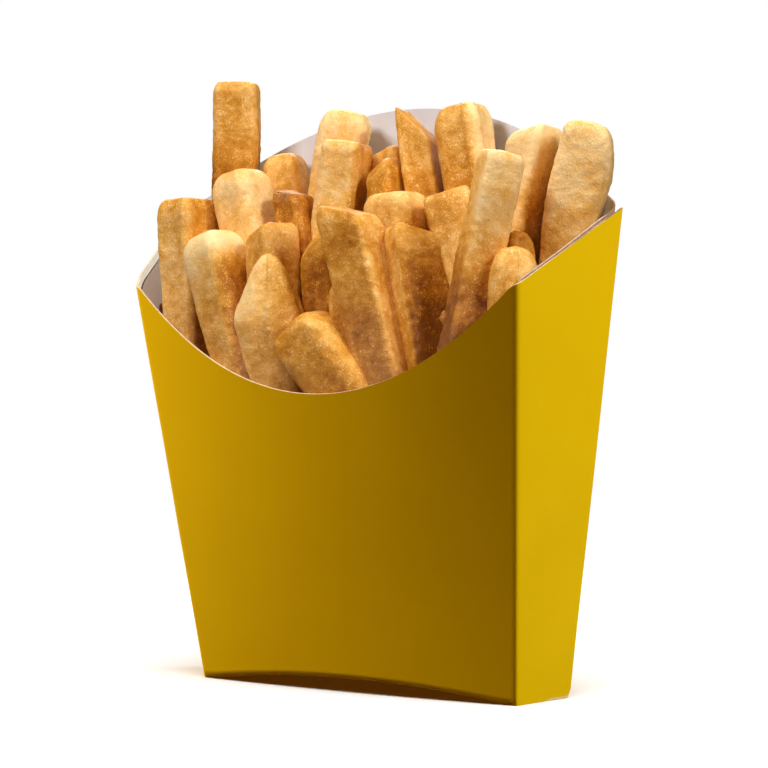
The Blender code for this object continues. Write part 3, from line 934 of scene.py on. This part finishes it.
def mottled_material(name, scale, detail, dark, pale, roughness):
    """Material between two tones of a colour, with its tree, shader and place socket."""
    material, tree, shader = new_material(name)
    place = tree.nodes.new("ShaderNodeTexCoord").outputs["Object"]
    cloud = noise_value(tree, place, scale, detail)
    tree.links.new(ramp(tree, cloud, ((0.3, dark), (0.7, pale))), shader.inputs["Base Color"])
    shader.inputs["Roughness"].default_value = roughness
    return material, tree, shader, place


def add_fibre(tree, shader, place, scale, detail, strength):
    """Fine fibres of the board, as a bump."""
    fibre = noise_value(tree, place, scale, detail)
    tree.links.new(bump(tree, fibre, strength, FIBRE_DEPTH), shader.inputs["Normal"])


def core_material():
    """Crust of the packed fries, painted dark as the shade deep between the fries."""
    return mottled_material("Shaded crust", 300.0, 4.0, (0.3, 0.12, 0.02), (0.5, 0.24, 0.05), 0.6)[0]


def board_materials():
    """Yellow printed face, off-white inner face, raw cut edge and an edge painted dark as shade, by
    slot.
    """
    yellow, tree, shader, place = mottled_material(
        "Yellow print", 40.0, 3.0, (0.745, 0.475, 0.0), (0.775, 0.505, 0.0), 0.5)
    shader.inputs["Specular IOR Level"].default_value = 0.12
    shader.inputs["Specular Tint"].default_value = (1.0, 0.7, 0.02, 1.0)
    add_fibre(tree, shader, place, 1800.0, 3.0, 0.12)

    inner, tree, shader, place = mottled_material(
        "Inner board", 120.0, 4.0, (0.58, 0.58, 0.61), (0.66, 0.66, 0.69), 0.6)
    add_fibre(tree, shader, place, 2200.0, 4.0, 0.3)

    raw = mottled_material("Cut edge", 900.0, 4.0, (0.60, 0.44, 0.31), (0.80, 0.64, 0.49), 0.8)[0]
    # Painted shade: the dark line along the left flap's top edge.
    shaded_edges = mottled_material("Edge painted with shade", 900.0, 4.0, (0.10, 0.05, 0.025), (0.22, 0.13, 0.08), 0.6)[0]
    return [yellow, inner, raw, shaded_edges]


def build_core(material):
    """Packed fries below the ones that show, as a lumpy filling painted dark as shade."""
    inward = Vector((0.0, WALL_CLEAR + CORE_CLEAR, 0.0))
    columns = []
    for i in range(CORE_ACROSS + 1):
        u = -CORE_SPAN + 2 * CORE_SPAN * i / CORE_ACROSS
        row = []
        for j in range(CORE_DEEP + 1):
            share = j / CORE_DEEP
            height = mix(CORE_FRONT, CORE_BACK, share)
            point = mix(front_point(u, height) + inward, back_point(u, height) - inward, share)
            point.z += wavy(point, CORE_LUMP, CORE_LUMP_HEIGHT, CORE_SEED)
            row.append(point)
        columns.append(row)
    grid = np.array(columns)
    top = grid.reshape(-1, 3)
    low = top * np.array(CORE_TAPER) + np.array([0.0, 1.0 * MM, CORE_BOTTOM])
    wide, deep = grid.shape[:2]
    shift = wide * deep
    faces = []
    for i in range(wide - 1):
        for j in range(deep - 1):
            a, b = i * deep + j, (i + 1) * deep + j
            faces.append((a, b, b + 1, a + 1))
            faces.append((a + shift, a + 1 + shift, b + 1 + shift, b + shift))
    loop = [i * deep for i in range(wide)]
    loop += [(wide - 1) * deep + j for j in range(1, deep)]
    loop += [i * deep + deep - 1 for i in range(wide - 2, -1, -1)]
    loop += list(range(deep - 2, 0, -1))
    for a, b in zip(loop, loop[1:] + loop[:1]):
        faces.append((a, a + shift, b + shift, b))
    return make_mesh("fries_packed", np.concatenate((top, low)), faces, [material])


def aim(item, azimuth, elevation, distance):
    """Place a light or camera round the target, looking at it; azimuth 0 is in front of it."""
    turn, rise = math.radians(azimuth), math.radians(elevation)
    away = Vector((math.sin(turn) * math.cos(rise), -math.cos(turn) * math.cos(rise),
                   math.sin(rise)))
    item.location = CAMERA_TARGET + away * distance
    item.rotation_euler = away.to_track_quat("Z", "Y").to_euler()
    bpy.context.scene.collection.objects.link(item)


def area_light(name, lit, azimuth, elevation, size, power, colour):
    """Soft square light that lights one collection alone."""
    data = bpy.data.lights.new(name, "AREA")
    data.shape = "SQUARE"
    data.size = size
    data.energy = power
    data.color = colour
    item = bpy.data.objects.new(name, data)
    aim(item, azimuth, elevation, LIGHT_DISTANCE)
    item.light_linking.receiver_collection = lit
    if name in OWN_SHADOWS:
        item.light_linking.blocker_collection = lit


def build_camera():
    """Camera at the photograph's place."""
    data = bpy.data.cameras.new("Camera")
    data.lens = CAMERA_LENS
    data.sensor_width = 36.0
    data.clip_start = 0.01
    item = bpy.data.objects.new("Camera", data)
    aim(item, CAMERA_AZIMUTH, CAMERA_ELEVATION, CAMERA_DISTANCE)
    bpy.context.scene.camera = item


def stage_piece(name, form, material):
    """Object for the stage from a bmesh."""
    data = bpy.data.meshes.new(name)
    form.to_mesh(data)
    form.free()
    data.materials.append(material)
    item = bpy.data.objects.new(name, data)
    bpy.context.scene.collection.objects.link(item)
    return item


def glowing_dome():
    """White surroundings that the camera sees and that light nothing."""
    form = bmesh.new()
    bmesh.ops.create_uvsphere(form, u_segments=32, v_segments=16, radius=DOME_RADIUS)
    material, _, shader = new_material("White surroundings")
    shader.inputs["Base Color"].default_value = (0.0, 0.0, 0.0, 1.0)
    shader.inputs["Emission Color"].default_value = (1.0, 1.0, 1.0, 1.0)
    shader.inputs["Emission Strength"].default_value = 1.0
    dome = stage_piece("surroundings", form, material)
    dome.visible_diffuse = False
    dome.visible_glossy = False
    dome.visible_transmission = False
    dome.visible_shadow = False


def build_floor():
    """Pale floor disc, just below the carton."""
    form = bmesh.new()
    bmesh.ops.create_circle(form, cap_ends=True, segments=96, radius=FLOOR_RADIUS)
    material, _, shader = new_material("Pale floor")
    shader.inputs["Base Color"].default_value = (0.88, 0.88, 0.88, 1.0)
    shader.inputs["Roughness"].default_value = 0.9
    floor = stage_piece("floor", form, material)
    floor.location.z = -0.05 * MM
    floor.visible_diffuse = False
    return floor


def build_world():
    """Weak warm light from all round, as the fries throw back."""
    world = bpy.data.worlds.new("World")
    world.use_nodes = True
    background = world.node_tree.nodes["Background"]
    background.inputs["Color"].default_value = (1.0, 0.42, 0.1, 1.0)
    background.inputs["Strength"].default_value = 0.1
    bpy.context.scene.world = world


def build():
    """Make every piece, fix it to the part and light it."""
    crust = crust_material()
    boards = board_materials()
    carton = [build_outer(boards), build_inner(boards), build_bottom(boards)]
    fills = fill_fries()
    fries = [
        build_fry_piece("fries_" + name, FRIES[first:last], SHAPES[first:last], crust, first + 1)
        for name, first, last in FRY_PIECES
    ]
    looks = [FILL_LOOK] * len(fills)
    fries.append(
        build_fry_piece("fries_low", fills, looks, crust, FILL_FIRST_SEED, FILL_COARSENESS))
    fries.append(build_core(core_material()))
    for item in carton:
        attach(item, "root")
        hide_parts("carton")
    for item in fries:
        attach(item, "root")
        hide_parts("fries")
    lit = {"carton": [carton[0], carton[2]], "inner": [carton[1]], "fries": fries,
           "floor": [build_floor()]}
    groups = {}
    for key, items in lit.items():
        groups[key] = bpy.data.collections.new("lit " + key)
        for item in items:
            groups[key].objects.link(item)
    for name, key, azimuth, *rest in LIGHTS:
        area_light(name, groups[key], CAMERA_AZIMUTH + azimuth, *rest)


build_camera()
build_world()
glowing_dome()
build()
bpy.context.scene.view_settings.view_transform = "Standard"
